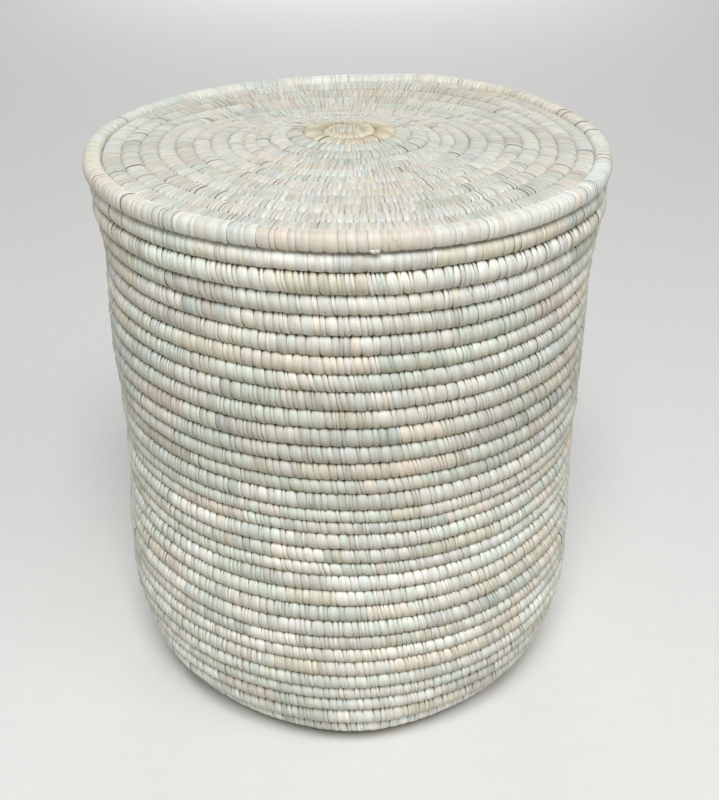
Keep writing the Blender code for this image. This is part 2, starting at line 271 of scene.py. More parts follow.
@dataclass(frozen=True)
class LeafFinish:
    """Dried palm leaf: matt, with fibres along each strip and one leaf's colour over a run of strips.

    A strip takes own_share of its colour from itself and the rest from its run's leaf; the few odd
    strips take odd_share. tone_spread says how far leaves differ in lightness: tone_base is taken
    off, run_weight and strip_weight are given back by chance. bleach is painted light
    that lightens each row towards the next turn; underside_share and foot_share are
    painted shade that darkens it towards the turn before, and dirt_share is painted shade
    where it lies deep and along the strips' edges. dull_share darkens a band of the wall. slit_share
    of the strips have small splits. Ranges are where a smooth step begins and ends.
    """

    name: str
    palette: tuple[tuple[Tone, float], ...]
    roughness: float = 0.56
    roughness_spread: float = 0.12
    specular: float = 0.35
    bump_strength: float = 0.8
    fibre_pitch: float = 0.80 * MM
    fibre_depth: float = 0.14 * MM
    fibre_contrast: float = 0.62
    fibre_rate_along: float = 90.0
    fibre_rate_between: float = 700.0
    fibre_roughness: float = 0.6
    fold_pitch: float = 2.1 * MM
    fold_contrast: float = 0.58
    fold_stretch: float = 0.4
    own_share: float = 0.24
    odd_share: float = 0.75
    odd_range: Range = (0.84, 0.90)
    lightness: float = 1.0
    tone_spread: float = 0.40
    tone_base: float = 0.9
    run_weight: float = 0.7
    strip_weight: float = 0.65
    # Painted light on the top of each row and painted shade on its underside.
    bleach: float = 0.18
    bleach_base: float = 0.55
    worn_range: Range = (-0.95, 0.85)
    underside_share: float = 0.47
    mottle_rate: float = 26.0
    mottle_detail: float = 3.0
    mottle_range: Range = (0.42, 0.75)
    warm_share: float = 0.10
    warm_spread: float = 0.25
    # Painted shade deep in the grooves and along the strips' edges.
    dirt_share: float = 0.30
    hidden_range: Range = (0.25, 1.0)
    seam_range: Range = (0.76, 1.0)
    seam_share: float = 0.25
    seam_spread: float = 0.50
    # Painted shade at the foot of each row.
    foot_share: float = 0.0
    foot_range: Range = (0.74, 0.93)
    slit_share: float = 0.30
    slit_rates: tuple[float, float, float] = (1300.0, 210.0, 910.0)
    slit_lottery: float = 37.0
    slit_range: Range = (0.68, 0.74)
    slit_darkness: float = 0.55
    slit_depth: float = 1.5
    dull_share: float = 0.0
    dull_height: float = 345.0 * MM
    dull_inner: float = 30.0 * MM
    dull_outer: float = 105.0 * MM

    def material(self) -> bpy.types.Material:
        """Make the material.

        Returns:
            A Principled material that reads the strips' own attributes.
        """
        made, sketch, shader = blank(self.name)
        made.diffuse_color = Tone.CREAM.linear
        run, strip, leaf = (sketch.attribute(label, "Vector") for label in ("run", "strip", "leaf"))
        run_pick, run_light, run_warm = sketch.parts(run)
        strip_pick, strip_light, strip_odd = sketch.parts(strip)
        across, along, hidden = sketch.parts(leaf)
        edge, side = sketch.attribute("edge"), sketch.attribute("side")
        colour = self._palette(sketch, run_pick)
        own = self._palette(sketch, strip_pick)
        odd = sketch.times(sketch.rise(strip_odd, *self.odd_range), self.odd_share - self.own_share)
        colour = sketch.blended(sketch.add(odd, self.own_share), colour, own)
        fibres = self._fibres(sketch, across, along, strip_pick, self.fibre_pitch)
        folds = self._fibres(sketch, across, sketch.times(along, self.fold_stretch), strip_pick,
                             self.fold_pitch)
        # Painted light and shade: each row is lighter on its top and darker on its underside, as light from
        # above falls.
        lit_top = sketch.rise(side, *self.worn_range)
        light = sketch.add(1.0 - self.tone_spread * self.tone_base - self.bleach * self.bleach_base,
                           sketch.times(run_light, self.tone_spread * self.run_weight),
                           sketch.times(strip_light, self.tone_spread * self.strip_weight),
                           sketch.times(lit_top, self.bleach),
                           sketch.times(sketch.less(fibres, 0.5), self.fibre_contrast),
                           sketch.times(sketch.less(folds, 0.5), self.fold_contrast))
        coords = sketch.node("ShaderNodeTexCoord").outputs["Object"]
        light = sketch.times(light, sketch.less(1.0, self._dull(sketch, coords)), self.lightness)
        colour = sketch.blended(1.0, colour, sketch.joined(light, light, light), "MULTIPLY")
        # Painted shade: the underside of each row is mixed towards the underside brown.
        shaded = sketch.times(sketch.less(1.0, lit_top), self.underside_share, sketch.add(0.5, strip_light))
        colour = sketch.blended(shaded, colour, Tone.UNDERSIDE.linear)
        mottle = sketch.noise(coords, self.mottle_rate, self.mottle_detail).outputs[0]
        warm = sketch.times(sketch.rise(mottle, *self.mottle_range),
                            sketch.add(self.warm_share, sketch.times(run_warm, self.warm_spread)))
        colour = sketch.blended(warm, colour, Tone.STRAW.linear)
        # Painted shade along the strips' edges, in the creases between them, and deep in the grooves between
        # rows.
        seam = sketch.times(sketch.rise(edge, *self.seam_range),
                            sketch.add(self.seam_share, sketch.times(run_light, self.seam_spread)))
        groove_shade = sketch.math("MAXIMUM", sketch.rise(hidden, *self.hidden_range), seam)
        # Painted shade at the foot of each row.
        foot = sketch.rise(sketch.times(side, -1.0), *self.foot_range)
        slits = self._slits(sketch, across, along, strip_pick)
        # The dark brown is painted shade in grooves, creases and at the feet, and the dark of the splits.
        for mark, share in ((groove_shade, self.dirt_share), (foot, self.foot_share), (slits, self.slit_darkness)):
            colour = sketch.blended(sketch.times(mark, share), colour, Tone.DIRT.linear)
        sketch.feed(shader["Base Color"], colour)
        rough = sketch.add(self.roughness - self.roughness_spread / 2,
                           sketch.times(mottle, self.roughness_spread))
        sketch.feed(shader["Roughness"], rough)
        height = sketch.less(sketch.add(fibres, folds), sketch.times(slits, self.slit_depth))
        bump = sketch.node("ShaderNodeBump", {"Height": height, "Distance": self.fibre_depth,
                                              "Strength": self.bump_strength})
        sketch.feed(shader["Normal"], bump.outputs[0])
        sketch.feed(shader["Specular IOR Level"], self.specular)
        return made

    def _palette(self, sketch: Sketch, pick: Socket) -> Socket:
        """Pick a leaf's colour.

        Args:
            sketch: the material's nodes.
            pick: a random number for each leaf.

        Returns:
            One of the palette's colours, each as often as its share.
        """
        node = sketch.node("ShaderNodeValToRGB", {"Fac": pick})
        ramp = node.color_ramp
        ramp.interpolation = "CONSTANT"
        total = sum(share for _, share in self.palette)
        place = 0.0
        for index, (tone, share) in enumerate(self.palette):
            stop = ramp.elements[index] if index < 2 else ramp.elements.new(place)
            stop.position = place
            stop.color = tone.linear
            place += share / total
        return node.outputs["Color"]

    def _fibres(self, sketch: Sketch, across: Socket, along: Socket, pick: Socket, pitch: float) -> Socket:
        """Draw the fibres or the folds along each strip.

        Args:
            sketch: the material's nodes.
            across: the distance from the strip's middle line, in metres.
            along: the distance round the coil, in metres.
            pick: a random number for each strip.
            pitch: about how far apart they lie.

        Returns:
            A number from 0 to 1 that changes quickly across the strip and slowly along it.
        """
        place = sketch.joined(sketch.times(across, 1.0 / pitch), sketch.times(along, self.fibre_rate_along),
                              sketch.times(pick, self.fibre_rate_between))
        return sketch.noise(place, 1.0, 2.0, self.fibre_roughness).outputs[0]

    def _dull(self, sketch: Sketch, coords: Socket) -> Socket:
        """Darken a band round the wall a little.

        Args:
            sketch: the material's nodes.
            coords: the place on the basket.

        Returns:
            The share of light that is lost.
        """
        far = sketch.math("ABSOLUTE", sketch.less(sketch.parts(coords)[2], self.dull_height))
        return sketch.times(sketch.less(1.0, sketch.rise(far, self.dull_inner, self.dull_outer)),
                            self.dull_share)

    def _slits(self, sketch: Sketch, across: Socket, along: Socket, pick: Socket) -> Socket:
        """Draw the small splits in some strips.

        Args:
            sketch: the material's nodes.
            across: the distance from the strip's middle line, in metres.
            along: the distance round the coil, in metres.
            pick: a random number for each strip.

        Returns:
            1 in a split and 0 elsewhere.
        """
        place = sketch.joined(*(sketch.times(part, rate)
                                for part, rate in zip((across, along, pick), self.slit_rates)))
        spots = sketch.noise(place, 1.0, 1.0).outputs[0]
        drawn = sketch.math("FRACT", sketch.times(pick, self.slit_lottery))
        torn = sketch.math("LESS_THAN", drawn, self.slit_share)
        return sketch.times(sketch.rise(spots, *self.slit_range), torn)


@dataclass(frozen=True)
class Leaves:
    """The palm leaf of each part, picked and dried in batches; the rim's is the body's leaf painted lighter
    against the lid edge's shadow.
    """

    body: bpy.types.Material
    rim: bpy.types.Material
    lid: bpy.types.Material
    edge: bpy.types.Material
    knot: bpy.types.Material

    @classmethod
    def picked(cls) -> Leaves:
        """Pick the leaves of this basket.

        Returns:
            Their materials.
        """
        body = ((Tone.CREAM, 0.36), (Tone.WHITE, 0.15), (Tone.PALE_GREEN, 0.19), (Tone.BLUE_GREEN, 0.09),
                (Tone.PINK_TAN, 0.11), (Tone.KHAKI, 0.10))
        lid = ((Tone.CREAM, 0.46), (Tone.WHITE, 0.18), (Tone.PALE_GREEN, 0.09), (Tone.BLUE_GREEN, 0.06),
               (Tone.PINK_TAN, 0.13), (Tone.KHAKI, 0.08))
        edge = ((Tone.CREAM, 0.46), (Tone.WHITE, 0.14), (Tone.BLUE_GREEN, 0.14), (Tone.PINK_TAN, 0.14),
                (Tone.KHAKI, 0.12))
        knot = ((Tone.TAN, 0.34), (Tone.KHAKI, 0.28), (Tone.STRAW, 0.22), (Tone.CREAM, 0.16))
        return cls(LeafFinish("palm leaf of the body", body, dull_share=0.16).material(),
                   # The rim's leaf is the body's, painted lighter with more painted light on its tops,
                   # against the shade of the lid's edge.
                   LeafFinish("palm leaf of the rim", body, lightness=1.10, bleach=0.24).material(),
                   LeafFinish("palm leaf of the lid", lid, lightness=0.86, tone_spread=0.24, bleach=0.05,
                              underside_share=0.12, own_share=0.5, slit_share=0.12, dirt_share=0.36,
                              foot_share=0.42).material(),
                   LeafFinish("palm leaf of the edge", edge, lightness=0.97, tone_spread=0.18, bleach=0.08,
                              underside_share=0.25, fibre_contrast=0.50, fold_contrast=0.42).material(),
                   LeafFinish("palm leaf of the knots", knot).material())


@dataclass(frozen=True)
class CoreFinish:
    """The bundle of dry fibre under the strips, seen in the gaps between them."""

    name: str
    roughness: float = 0.85
    grain_rate: float = 420.0
    grain_range: Range = (0.35, 0.7)
    grain_depth: float = 0.4 * MM
    dirt_share: float = 0.25

    def material(self) -> bpy.types.Material:
        """Make the material.

        Returns:
            A dull brown with streaks along the bundle.
        """
        made, sketch, shader = blank(self.name)
        coords = sketch.node("ShaderNodeTexCoord").outputs["Object"]
        grain = sketch.noise(coords, self.grain_rate, 2.0).outputs[0]
        colour = sketch.blended(sketch.rise(grain, *self.grain_range), Tone.CORE.linear, Tone.KHAKI.linear)
        # The core's own darker brown, mixed in evenly.
        sketch.feed(shader["Base Color"], sketch.blended(self.dirt_share, colour, Tone.DIRT.linear))
        bump = sketch.node("ShaderNodeBump", {"Height": grain, "Distance": self.grain_depth})
        sketch.feed(shader["Normal"], bump.outputs[0])
        sketch.feed(shader["Roughness"], self.roughness)
        return made


@dataclass
class Line:
    """Middle line of a coil in the half plane through the axis.

    It goes the way that the coil is wound. facing is 1 if its seen side lies to the right, -1 if to
    the left. length, slope and turns are measured along it.
    """

    radius: np.ndarray
    height: np.ndarray
    coil: np.ndarray
    facing: float
    length: np.ndarray = field(init=False)
    slope: np.ndarray = field(init=False)
    turns: np.ndarray = field(init=False)

    def __post_init__(self) -> None:
        """Measure the line and count the turns along it."""
        steps = np.hypot(np.diff(self.radius), np.diff(self.height))
        self.length = np.concatenate([[0.0], np.cumsum(steps)])
        self.slope = np.arctan2(np.gradient(self.height), np.gradient(self.radius))
        rate = 1.0 / self.coil
        self.turns = np.concatenate([[0.0], np.cumsum((rate[1:] + rate[:-1]) / 2 * steps)])

    def length_at(self, turn: np.ndarray) -> np.ndarray:
        """Measure how far along the line some turns lie.

        Args:
            turn: the numbers of turns from the line's start.

        Returns:
            The lengths, which go on past both ends.
        """
        inner = np.interp(turn, self.turns, self.length)
        before = np.minimum(turn, 0.0) * self.coil[0]
        after = np.maximum(turn - self.turns[-1], 0.0) * self.coil[-1]
        return inner + before + after

    def turn_at(self, length: float) -> float:
        """Return the number of turns inside a length."""
        return float(np.interp(length, self.length, self.turns))


@dataclass
class Guide:
    """Middle line of one stretch of coil in space, with the directions and sizes along it.

    outward is the way that the coil's seen side faces, onward the way to the next turn, and tied is 1
    where a next turn is sewn on.
    """

    place: np.ndarray
    outward: np.ndarray
    onward: np.ndarray
    half_width: np.ndarray
    half_depth: np.ndarray
    tied: np.ndarray

    def cut(self, first: int, last: int) -> Guide:
        """Return the stretch between two points."""
        return Guide(*(getattr(self, item.name)[first:last + 1] for item in fields(self)))

    @property
    def span(self) -> float:
        """The length of the stretch."""
        return float(np.linalg.norm(np.diff(self.place, axis=0), axis=1).sum())

    def mesh(self, name: str) -> bpy.types.Mesh:
        """Make a chain of edges that carries the directions and sizes.

        Args:
            name: the mesh's name.

        Returns:
            The mesh.
        """
        made = bpy.data.meshes.new(name)
        made.from_pydata(self.place.tolist(), [(i, i + 1) for i in range(len(self.place) - 1)], [])
        for item in fields(self)[1:]:
            values = getattr(self, item.name).astype(np.float32)
            kind, part = ("FLOAT", "value") if values.ndim == 1 else ("FLOAT_VECTOR", "vector")
            made.attributes.new(item.name, kind, "POINT").data.foreach_set(part, values.ravel())
        return made


def upright(radius: np.ndarray, height: np.ndarray, angle: np.ndarray) -> np.ndarray:
    """Return the places at some radii, heights and angles round the axis."""
    return np.stack([radius * np.cos(angle), radius * np.sin(angle), height], axis=1)


def ease(share: np.ndarray) -> np.ndarray:
    """Return a smooth step from 0 to 1."""
    held = np.clip(share, 0.0, 1.0)
    return held * held * (3.0 - 2.0 * held)


def between(bottom: np.ndarray, middle: np.ndarray, top: np.ndarray, outward: np.ndarray,
            tied: np.ndarray) -> Guide:
    """Lay a coil between two edges.

    Args:
        bottom: the places of the edge that is sewn to the turn before.
        middle: the places of the middle line.
        top: the places of the other edge.
        outward: roughly the way that the coil's seen side faces.
        tied: 1 where a next turn is sewn on, 0 where none is.

    Returns:
        The coil's guide.
    """
    across = top - bottom
    span = np.linalg.norm(across, axis=1)
    onward = across / span[:, None]
    outward = outward - onward * (outward * onward).sum(axis=1)[:, None]
    outward = outward / np.linalg.norm(outward, axis=1)[:, None]
    return Guide(middle, outward, onward, span / 2, span / 2, tied)


def level_guide(middle: np.ndarray, half: np.ndarray, angle: np.ndarray) -> Guide:
    """Lay a coil that runs level round the axis, with nothing sewn on.

    Args:
        middle: the places of its middle line.
        half: from the middle line to its top.
        angle: the angles of those places.

    Returns:
        Its guide.
    """
    outward = upright(np.ones(len(angle)), np.zeros(len(angle)), angle)
    return between(middle - half, middle, middle + half, outward, np.zeros(len(angle)))


def ring(radius: float, height: float, coil: float, shape: Shape) -> Guide:
    """Wind one level turn, whose ends meet at the back.

    Args:
        radius: the radius of its middle line.
        height: the height of its middle line.
        coil: the coil's thickness.
        shape: how round and level it is.

    Returns:
        Its guide.
    """
    angle = 2 * math.pi * (BACK_TURN + np.linspace(0.0, 1.0, POINTS_PER_TURN + 1))
    middle = shape(np.full(len(angle), radius), np.full(len(angle), height), angle)
    return level_guide(middle, np.array([0.0, 0.0, coil / 2]), angle)


def knot_guide(length: float, width: float, depth: float, height: float, facing: float,
               centre: tuple[float, float] = (0.0, 0.0)) -> Guide:
    """Lay the folded start of a coil: a short oval bundle.

    Args:
        length: its length, along X.
        width: its greatest width, along Y.
        depth: its thickness, along Z.
        height: the height of its middle.
        facing: 1 if it is seen from above, -1 from below.
        centre: its middle in plan.

    Returns:
        Its guide.
    """
    share = np.sin(np.linspace(-math.pi / 2, math.pi / 2, KNOT_POINTS)) * KNOT_REACH
    girth = np.sqrt(1.0 - share**2)
    place = np.stack([centre[0] + share * length / 2, np.full(KNOT_POINTS, centre[1]),
                      np.full(KNOT_POINTS, height)], axis=1)
    return Guide(place=place, outward=np.tile([0.0, 0.0, facing], (KNOT_POINTS, 1)),
                 onward=np.tile([0.0, -1.0, 0.0], (KNOT_POINTS, 1)), half_width=girth * width / 2,
                 half_depth=girth * depth / 2, tied=np.zeros(KNOT_POINTS))


@dataclass
class Winding:
    """A coil wound round the axis along a line, between the lengths low and high.

    gather is how much of the climb lies on the far side of level_turn, so that the rows run level there.
    drift moves the rows a little, as a hand does: pairs of (turns from the end, share of a turn).
    tie_share is the share of a turn over which the coil's end comes untied.
    """

    line: Line
    low: float
    high: float
    gather: float = 0.0
    level_turn: float = FRONT_TURN
    phase: float = 0.0
    drift: tuple[tuple[float, float], ...] = ()
    shape: Shape = upright
    tie_share: float = 0.25

    def climbed(self, turn: np.ndarray) -> np.ndarray:
        """Return how many turns the coil has climbed at some turn numbers."""
        swing = np.sin(2 * math.pi * (turn - self.level_turn)) / (2 * math.pi)
        return turn + self.phase - self.gather * swing

    def edge(self, turn: np.ndarray) -> np.ndarray:
        """Find where the rows meet.

        Args:
            turn: the numbers of turns climbed.

        Returns:
            The lengths along the line at which the rows meet there.
        """
        moved = turn
        if self.drift:
            stations, shares = np.array(self.drift).T
            moved = turn + np.interp(self.line.turns[-1] - turn, stations, shares)
        return np.clip(self.line.length_at(moved), self.low, self.high)

    def last_turn(self, tail_share: float) -> float:
        """Find where the coil ends.

        Args:
            tail_share: how thick its end is, as a share of a turn.

        Returns:
            The turn number at which it has thinned to that.
        """
        whole = self.line.turns[-1]
        numbers = np.linspace(whole - ENDS_WITHIN, whole + ENDS_WITHIN, 2 * ENDS_WITHIN * TRIES_PER_TURN + 1)
        room = self.high - self.edge(self.climbed(numbers) - 0.5)
        return float(numbers[np.argmax(room < tail_share * self.line.coil[-1])])

    def first_turn(self, head_share: float) -> float:
        """Find where the coil begins.

        Args:
            head_share: how thick its head is, as a share of a turn.

        Returns:
            The turn number at which it has grown to that.
        """
        numbers = np.linspace(-1.0, STARTS_WITHIN, (1 + STARTS_WITHIN) * TRIES_PER_TURN + 1)
        room = self.edge(self.climbed(numbers) + 0.5) - self.low
        return float(numbers[np.argmax(room > head_share * self.line.coil[0])])

    def guide(self, first: float, last: float) -> Guide:
        """Wind a stretch.

        Args:
            first: the turn number at which it begins.
            last: the turn number at which it ends.

        Returns:
            Its guide.
        """
        turn = np.linspace(first, last, max(2, math.ceil((last - first) * POINTS_PER_TURN)))
        angle = 2 * math.pi * turn
        climbed = self.climbed(turn)
        bottom, top = self.edge(climbed - 0.5), self.edge(climbed + 0.5)
        slope = np.interp((bottom + top) / 2, self.line.length, self.line.slope)
        outward = self.line.facing * upright(np.sin(slope), -np.cos(slope), angle)
        tied = np.clip((self.high - top) / self.line.coil[-1] / self.tie_share, 0.0, 1.0)
        return between(self._place(bottom, angle), self._place((bottom + top) / 2, angle),
                       self._place(top, angle), outward, tied)

    def _place(self, length: np.ndarray, angle: np.ndarray) -> np.ndarray:
        """Return the places at some lengths along the line and angles round the axis."""
        radius = np.interp(length, self.line.length, self.line.radius)
        return self.shape(radius, np.interp(length, self.line.length, self.line.height), angle)


@dataclass(frozen=True)
class HandWave:
    """How far the rim and the lid's edge stand above or below level: pairs of (degrees, millimetres)."""

    heights: tuple[tuple[float, float], ...] = (
        (-90.0, 0.0), (-40.0, -0.3), (-5.0, -0.9), (8.0, 0.3), (18.0, -0.2), (30.0, 0.7), (47.0, 1.6),
        (60.0, 2.6), (68.0, 2.4), (75.0, 0.4), (85.0, -3.0), (95.0, -4.3), (113.0, -4.4), (127.0, -4.4),
        (140.0, -3.2), (170.0, -2.6), (180.0, -1.6), (200.0, 0.0), (270.0, 0.0))

    def at(self, angle: np.ndarray) -> np.ndarray:
        """Return the rise at some angles, in radians anticlockwise from +X."""
        stations, heights = np.array(self.heights).T
        return np.interp((np.degrees(angle) - stations[0]) % 360.0 + stations[0], stations, heights * MM)


@dataclass(frozen=True)
class Strips:
    """Strips of palm leaf wrapped side by side round a coil.

    A strip is from narrow to wide, and one leaf gives the strips of about run_length. It swells by
    crown in its middle and dives by crease at its edges, leans by lean and rolls by roll. The pinches
    say how much narrower it is where the next turn's stitch holds it and where it is sewn to the turn
    before, tip how far its foot reaches there, and tuck how far it passes into both. fullness is the
    power of the coil's outline: 2 is an ellipse, more is squarer.
    """

    narrow: float = 2.6 * MM
    wide: float = 10.2 * MM
    run_length: float = 58.0 * MM
    crown: float = 0.36 * MM
    crease: float = 0.70 * MM
    lean: float = 1.4 * MM
    lean_spread: float = 1.0 * MM
    roll: float = 0.34 * MM
    tip: float = 1.2 * MM
    top_pinch: float = 0.62
    bottom_pinch: float = 0.16
    wobble: float = 0.9 * MM
    tuck: float = 1.05
    fullness: float = 2.08
    columns: int = 5
    outer_sides: int = 8
    inner_sides: int = 6

    @property
    def broad(self) -> Strips:
        """The wider, straighter strips of the rim and of the lid's edge."""
        return replace(self, narrow=3.8 * MM, wide=10.8 * MM, crease=0.45 * MM, crown=0.22 * MM,
                       lean=0.4 * MM, lean_spread=0.3 * MM, top_pinch=0.0, tip=0.0)

    @property
    def flat(self) -> Strips:
        """The narrow, flat strips of the lid's turns."""
        return replace(self, narrow=3.0 * MM, wide=6.8 * MM, fullness=2.9, tuck=1.06, crease=0.5 * MM,
                       crown=0.26 * MM, top_pinch=0.36, bottom_pinch=0.1, lean=0.4 * MM,
                       lean_spread=0.3 * MM)

    @property
    def fine(self) -> Strips:
        """The finest strips, of the lid's first turns and its knot."""
        return replace(self.flat, narrow=2.2 * MM, wide=4.8 * MM)

    @property
    def unsewn(self) -> Strips:
        """The same strips round a bundle that no turn is sewn to."""
        return replace(self, top_pinch=0.0, bottom_pinch=0.0, tip=0.0)

    @property
    def faces(self) -> int:
        """How many triangles one strip has."""
        return 2 * (self.columns - 1) * (self.outer_sides + self.inner_sides)

    @property
    def mean(self) -> float:
        """The mean width of a strip."""
        return self.narrow + (self.wide - self.narrow) * MEAN_WIDTH_SHARE

    @property
    def inputs(self) -> dict[str, Value]:
        """The sizes by the names of the tree's inputs, such as Run Length."""
        return {item.name.replace("_", " ").title(): getattr(self, item.name) for item in fields(self)}


class Tree:
    """A Geometry Nodes tree with named inputs."""

    sway_rate: float = 9.0
    sway_gain: float = 4.0

    def __init__(self, name: str, inputs: dict[str, Value], material: str) -> None:
        """Make an empty tree.

        Args:
            name: its name.
            inputs: the default value of each named input: a whole number or a size.
            material: the name of the input for the material.
        """
        self.group = bpy.data.node_groups.new(name, "GeometryNodeTree")
        face = self.group.interface
        face.new_socket("Geometry", in_out="OUTPUT", socket_type="NodeSocketGeometry")
        face.new_socket("Geometry", in_out="INPUT", socket_type="NodeSocketGeometry")
        self.identifiers: dict[str, str] = {}
        for label, value in inputs.items():
            kind = "NodeSocketInt" if isinstance(value, int) else "NodeSocketFloat"
            made = face.new_socket(label, in_out="INPUT", socket_type=kind)
            made.default_value = value
            self.identifiers[label] = made.identifier
        made = face.new_socket(material, in_out="INPUT", socket_type="NodeSocketMaterial")
        self.identifiers[material] = made.identifier
        self.material = material
        self.sketch = Sketch(self.group)
        self.inputs = self.group.nodes.new("NodeGroupInput").outputs

    def named(self, label: str, kind: str = "FLOAT") -> Socket:
        """Return the values of a named attribute."""
        made = self.sketch.node("GeometryNodeInputNamedAttribute", {"Name": label}, data_type=kind)
        return Sketch.socket(made.outputs, "Attribute")

    def stored(self, geometry: Socket, label: str, value: Socket, kind: str = "FLOAT") -> Socket:
        """Return the geometry with a value kept on each point under a name."""
        return self.sketch.node("GeometryNodeStoreNamedAttribute",
                                {"Geometry": geometry, "Name": label, "Value": value},
                                data_type=kind, domain="POINT").outputs[0]

    def sampled(self, curve: Socket, length: Socket, label: str, kind: str = "FLOAT") -> bpy.types.Node:
        """Read a curve's attribute at some lengths: the node gives the value and the position."""
        return self.sketch.node("GeometryNodeSampleCurve",
                                {"Curves": curve, "Value": self.named(label, kind), "Length": length},
                                data_type=kind, mode="LENGTH", use_all_curves=False)

    def random(self, draw: Draw, low: float = 0.0, high: float = 1.0) -> Socket:
        """Draw a random number for each point.

        Args:
            draw: what it is for.
            low: the least value.
            high: the greatest value.

        Returns:
            The number.
        """
        seed = self.sketch.math("ADD", self.inputs["Seed"], float(draw.value))
        made = self.sketch.node("FunctionNodeRandomValue", {"Min": low, "Max": high, "Seed": seed},
                                data_type="FLOAT")
        return Sketch.socket(made.outputs, "Value")

    def moved(self, geometry: Socket, place: Socket) -> Socket:
        """Move each point to a place, a little off as hand work is; neighbours move alike.

        Args:
            geometry: the points.
            place: where each goes, give or take the wobble.

        Returns:
            The geometry, never under the floor.
        """
        sketch = self.sketch
        noise = sketch.noise(place, self.sway_rate, 1.0).outputs["Color"]
        amount = sketch.times(self.inputs["Wobble"], self.sway_gain)
        away = sketch.scaled(sketch.vector("SUBTRACT", noise, (0.5, 0.5, 0.5)), amount)
        x, y, z = sketch.parts(sketch.vector("ADD", place, away))
        held = sketch.joined(x, y, sketch.math("MAXIMUM", z, 0.0))
        return sketch.node("GeometryNodeSetPosition", {"Geometry": geometry, "Position": held}).outputs[0]

    def finish(self, geometry: Socket) -> None:
        """End the tree with real meshes and their material.

        Args:
            geometry: what it has made.
        """
        real = self.sketch.node("GeometryNodeRealizeInstances", {"Geometry": geometry}).outputs[0]
        dressed = self.sketch.node("GeometryNodeSetMaterial",
                                   {"Geometry": real, "Material": self.inputs[self.material]}).outputs[0]
        self.group.links.new(dressed, self.group.nodes.new("NodeGroupOutput").inputs[0])

    def run(self, name: str, guide: Guide, values: dict[str, Value]) -> bpy.types.Object:
        """Grow a plain mesh on a guide.

        Args:
            name: the piece's name.
            guide: the guide.
            values: a value for each named input.

        Returns:
            The piece, with nothing left to evaluate.
        """
        mesh = guide.mesh(name + "_line")
        carrier = placed(name + "_guide", mesh)
        modifier = carrier.modifiers.new("grow", "NODES")
        modifier.node_group = self.group
        for label, value in values.items():
            modifier[self.identifiers[label]] = value
        depsgraph = bpy.context.evaluated_depsgraph_get()
        grown = bpy.data.meshes.new_from_object(carrier.evaluated_get(depsgraph),
                                                preserve_all_data_layers=True, depsgraph=depsgraph)
        carrier.modifiers.remove(modifier)
        bpy.data.objects.remove(carrier, do_unlink=True)
        bpy.data.meshes.remove(mesh)
        grown.name = name
        return placed(name, grown)


